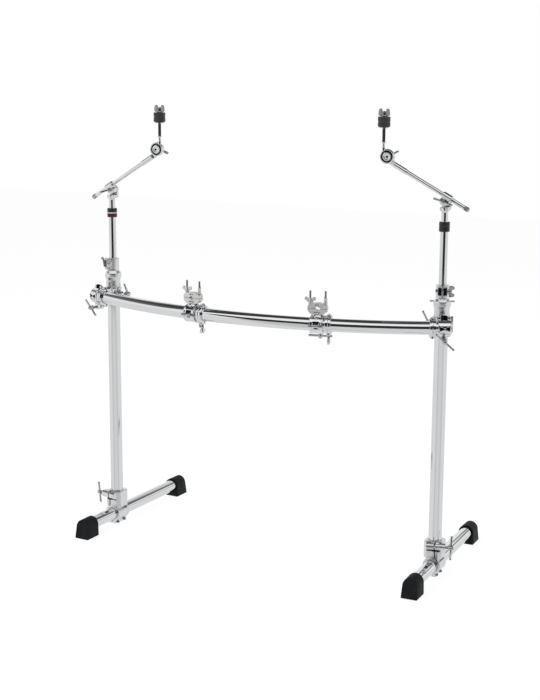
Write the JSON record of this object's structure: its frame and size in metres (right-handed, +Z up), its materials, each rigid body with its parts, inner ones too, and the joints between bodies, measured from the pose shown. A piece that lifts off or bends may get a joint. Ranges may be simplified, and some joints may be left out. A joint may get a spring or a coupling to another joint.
{
  "type": "drum rack frame",
  "caption": "Free-standing curved drum rack: an arched tube between uprights on T-legs, with a boom arm on each upright and jaw clamps on the bar.",
  "frame": {"origin": "on the floor, under the middle of the bounding box of the whole rack", "axes": "+Z up, +X to the right as seen from the player-facing outer side of the curved bar, +Y away from the outer side of the bar"},
  "size_m": [1.2132, 0.5848, 1.3375],
  "materials": {
    "chrome": "polished",
    "rubber": "matt",
    "felt": "felted"
  },
  "bodies": {
    "uprights": {"left_upright_tube": "chrome", "left_mast_clamp_body": "chrome", "right_upright_tube": "chrome", "right_mast_clamp_body": "chrome"},
    "bar": {"curved_bar": "chrome", "left_corner_clamp_body": "chrome", "left_corner_clamp_bar_strap": "chrome", "left_corner_clamp_upright_strap": "chrome", "left_memory_lock": "chrome", "right_corner_clamp_body": "chrome", "right_corner_clamp_bar_strap": "chrome", "right_corner_clamp_upright_strap": "chrome", "right_memory_lock": "chrome"},
    "left_leg_clamp": {"left_leg_clamp_body": "chrome"},
    "left_leg": {"left_leg_tube": "chrome", "left_foot_front": "rubber", "left_foot_back": "rubber"},
    "left_leg_handle": {"left_leg_clamp_handle": "chrome"},
    "left_bar_handle": {"left_corner_clamp_bar_handle": "chrome"},
    "left_upright_handle": {"left_corner_clamp_upright_handle": "chrome"},
    "left_mast_screw": {"left_mast_clamp_wing_screw": "chrome"},
    "left_mast": {"left_mast_tube": "chrome"},
    "left_boom_base": {"left_boom_tilter_base": "chrome"},
    "left_boom_screw": {"left_boom_tilter_wing_screw": "chrome"},
    "left_boom_head": {"left_boom_tilter_head": "chrome"},
    "left_boom": {"left_boom_rod": "chrome", "left_cymbal_tilter_base": "chrome"},
    "left_cymbal_screw": {"left_cymbal_tilter_wing_screw": "chrome"},
    "left_cymbal_head": {"left_cymbal_tilter_head": "chrome", "left_cymbal_felts": "felt"},
    "left_cymbal_nut": {"left_cymbal_wing_nut": "chrome"},
    "left_bar_clamp": {"left_bar_clamp_body": "chrome", "left_bar_clamp_strap": "chrome"},
    "left_clamp_handle": {"left_bar_clamp_handle": "chrome"},
    "left_jaws": {"left_jaw_lower": "chrome", "left_jaw_upper": "chrome"},
    "right_leg_clamp": {"right_leg_clamp_body": "chrome"},
    "right_leg": {"right_leg_tube": "chrome", "right_foot_front": "rubber", "right_foot_back": "rubber"},
    "right_leg_handle": {"right_leg_clamp_handle": "chrome"},
    "right_bar_handle": {"right_corner_clamp_bar_handle": "chrome"},
    "right_upright_handle": {"right_corner_clamp_upright_handle": "chrome"},
    "right_mast_screw": {"right_mast_clamp_wing_screw": "chrome"},
    "right_mast": {"right_mast_tube": "chrome"},
    "right_boom_base": {"right_boom_tilter_base": "chrome"},
    "right_boom_screw": {"right_boom_tilter_wing_screw": "chrome"},
    "right_boom_head": {"right_boom_tilter_head": "chrome"},
    "right_boom": {"right_boom_rod": "chrome", "right_cymbal_tilter_base": "chrome"},
    "right_cymbal_screw": {"right_cymbal_tilter_wing_screw": "chrome"},
    "right_cymbal_head": {"right_cymbal_tilter_head": "chrome", "right_cymbal_felts": "felt"},
    "right_cymbal_nut": {"right_cymbal_wing_nut": "chrome"},
    "right_bar_clamp": {"right_bar_clamp_body": "chrome", "right_bar_clamp_strap": "chrome"},
    "right_clamp_handle": {"right_bar_clamp_handle": "chrome"},
    "right_jaws": {"right_jaw_lower": "chrome", "right_jaw_upper": "chrome"}
  },
  "joints": [
    {"name": "bar_height", "type": "slide", "parent": "uprights", "child": "bar", "axis": [0, 0, 1], "range_m": [-0.45, 0]},
    {"name": "left_leg_turn", "type": "hinge", "parent": "uprights", "child": "left_leg_clamp", "pos_m": [-0.53586, -0.0799, 0], "axis": [0, 0, 1], "range_deg": [-45, 45]},
    {"name": "left_leg_slide", "type": "slide", "parent": "left_leg_clamp", "child": "left_leg", "axis": [0.075, 0.9972, 0], "range_m": [-0.18, 0.095]},
    {"name": "left_leg_handle_turn", "type": "hinge", "parent": "left_leg_clamp", "child": "left_leg_handle", "pos_m": [-0.58431, -0.09594, 0.09685], "axis": [-0.9598, 0.2807, 0], "continuous": true},
    {"name": "left_bar_handle_turn", "type": "hinge", "parent": "bar", "child": "left_bar_handle", "pos_m": [-0.56932, -0.14763, 0.7095], "axis": [-0.4429, -0.8966, 0], "continuous": true},
    {"name": "left_upright_handle_turn", "type": "hinge", "parent": "bar", "child": "left_upright_handle", "pos_m": [-0.49514, -0.07536, 0.746], "axis": [0.4429, 0.8966, 0], "continuous": true},
    {"name": "left_mast_screw_turn", "type": "hinge", "parent": "uprights", "child": "left_mast_screw", "pos_m": [-0.5594, -0.0872, 0.841], "axis": [-0.7986, 0.6018, 0], "continuous": true},
    {"name": "left_mast_slide", "type": "slide", "parent": "uprights", "child": "left_mast", "axis": [0, 0, 1], "range_m": [-0.12, 0.13]},
    {"name": "left_boom_turn", "type": "hinge", "parent": "left_mast", "child": "left_boom_base", "pos_m": [-0.53586, -0.0799, 1.0686], "axis": [0, 0, 1], "continuous": true},
    {"name": "left_boom_screw_turn", "type": "hinge", "parent": "left_boom_base", "child": "left_boom_screw", "pos_m": [-0.53586, -0.0907, 1.0686], "axis": [0, -1, 0], "continuous": true},
    {"name": "left_boom_tilt", "type": "hinge", "parent": "left_boom_base", "child": "left_boom_head", "pos_m": [-0.53586, -0.0799, 1.0686], "axis": [0, -1, 0], "range_deg": [-52.3, 27.7]},
    {"name": "left_boom_slide", "type": "slide", "parent": "left_boom_head", "child": "left_boom", "axis": [0.8453, 0, 0.5344], "range_m": [-0.1, 0.05]},
    {"name": "left_cymbal_screw_turn", "type": "hinge", "parent": "left_boom", "child": "left_cymbal_screw", "pos_m": [-0.37383, -0.0705, 1.19706], "axis": [0, 1, 0], "continuous": true},
    {"name": "left_cymbal_tilt", "type": "hinge", "parent": "left_boom", "child": "left_cymbal_head", "pos_m": [-0.37383, -0.0799, 1.19706], "axis": [0, -1, 0], "range_deg": [-60, 60]},
    {"name": "left_cymbal_nut_turn", "type": "hinge", "parent": "left_cymbal_head", "child": "left_cymbal_nut", "pos_m": [-0.36283, -0.0851, 1.30666], "axis": [0, 0, 1], "continuous": true},
    {"name": "left_clamp_travel", "type": "hinge", "parent": "bar", "child": "left_bar_clamp", "pos_m": [-0.00086, 1.00317, 0.744], "axis": [0, 0, 1], "range_deg": [-15, 5.4]},
    {"name": "left_clamp_handle_turn", "type": "hinge", "parent": "left_bar_clamp", "child": "left_clamp_handle", "pos_m": [-0.16066, -0.2101, 0.71215], "axis": [0, 0, -1], "continuous": true},
    {"name": "left_jaw_turn", "type": "hinge", "parent": "left_bar_clamp", "child": "left_jaws", "pos_m": [-0.16539, -0.24604, 0.77315], "axis": [0, 0, 1], "range_deg": [-90, 90]},
    {"name": "right_leg_turn", "type": "hinge", "parent": "uprights", "child": "right_leg_clamp", "pos_m": [0.53414, -0.0799, 0], "axis": [0, 0, 1], "range_deg": [-45, 45]},
    {"name": "right_leg_slide", "type": "slide", "parent": "right_leg_clamp", "child": "right_leg", "axis": [0, 1, 0], "range_m": [-0.18, 0.095]},
    {"name": "right_leg_handle_turn", "type": "hinge", "parent": "right_leg_clamp", "child": "right_leg_handle", "pos_m": [0.58125, -0.09953, 0.09685], "axis": [0.9781, 0.2079, 0], "continuous": true},
    {"name": "right_bar_handle_turn", "type": "hinge", "parent": "bar", "child": "right_bar_handle", "pos_m": [0.5676, -0.14763, 0.7095], "axis": [0.4429, -0.8966, 0], "continuous": true},
    {"name": "right_upright_handle_turn", "type": "hinge", "parent": "bar", "child": "right_upright_handle", "pos_m": [0.49342, -0.07536, 0.746], "axis": [-0.4429, 0.8966, 0], "continuous": true},
    {"name": "right_mast_screw_turn", "type": "hinge", "parent": "uprights", "child": "right_mast_screw", "pos_m": [0.55426, -0.09412, 0.841], "axis": [0.9455, 0.3256, 0], "continuous": true},
    {"name": "right_mast_slide", "type": "slide", "parent": "uprights", "child": "right_mast", "axis": [0, 0, 1], "range_m": [-0.12, 0.13]},
    {"name": "right_boom_turn", "type": "hinge", "parent": "right_mast", "child": "right_boom_base", "pos_m": [0.53414, -0.0799, 1.0906], "axis": [0, 0, 1], "continuous": true},
    {"name": "right_boom_screw_turn", "type": "hinge", "parent": "right_boom_base", "child": "right_boom_screw", "pos_m": [0.53414, -0.0907, 1.0906], "axis": [0, -1, 0], "continuous": true},
    {"name": "right_boom_tilt", "type": "hinge", "parent": "right_boom_base", "child": "right_boom_head", "pos_m": [0.53414, -0.0799, 1.0906], "axis": [0, 1, 0], "range_deg": [-47.8, 32.2]},
    {"name": "right_boom_slide", "type": "slide", "parent": "right_boom_head", "child": "right_boom", "axis": [-0.8846, 0, 0.4664], "range_m": [-0.1, 0.05]},
    {"name": "right_cymbal_screw_turn", "type": "hinge", "parent": "right_boom", "child": "right_cymbal_screw", "pos_m": [0.36253, -0.0705, 1.20595], "axis": [0, 1, 0], "continuous": true},
    {"name": "right_cymbal_tilt", "type": "hinge", "parent": "right_boom", "child": "right_cymbal_head", "pos_m": [0.36253, -0.0799, 1.20595], "axis": [0, 1, 0], "range_deg": [-60, 60]},
    {"name": "right_cymbal_nut_turn", "type": "hinge", "parent": "right_cymbal_head", "child": "right_cymbal_nut", "pos_m": [0.35153, -0.0851, 1.31555], "axis": [0, 0, 1], "continuous": true},
    {"name": "right_clamp_travel", "type": "hinge", "parent": "bar", "child": "right_bar_clamp", "pos_m": [-0.00086, 1.00317, 0.744], "axis": [0, 0, 1], "range_deg": [-8.1, 11.6]},
    {"name": "right_clamp_handle_turn", "type": "hinge", "parent": "right_bar_clamp", "child": "right_clamp_handle", "pos_m": [0.21746, -0.20094, 0.71215], "axis": [0, 0, -1], "continuous": true},
    {"name": "right_jaw_turn", "type": "hinge", "parent": "right_bar_clamp", "child": "right_jaws", "pos_m": [0.22393, -0.23661, 0.77315], "axis": [0, 0, 1], "range_deg": [-90, 90]}
  ]
}
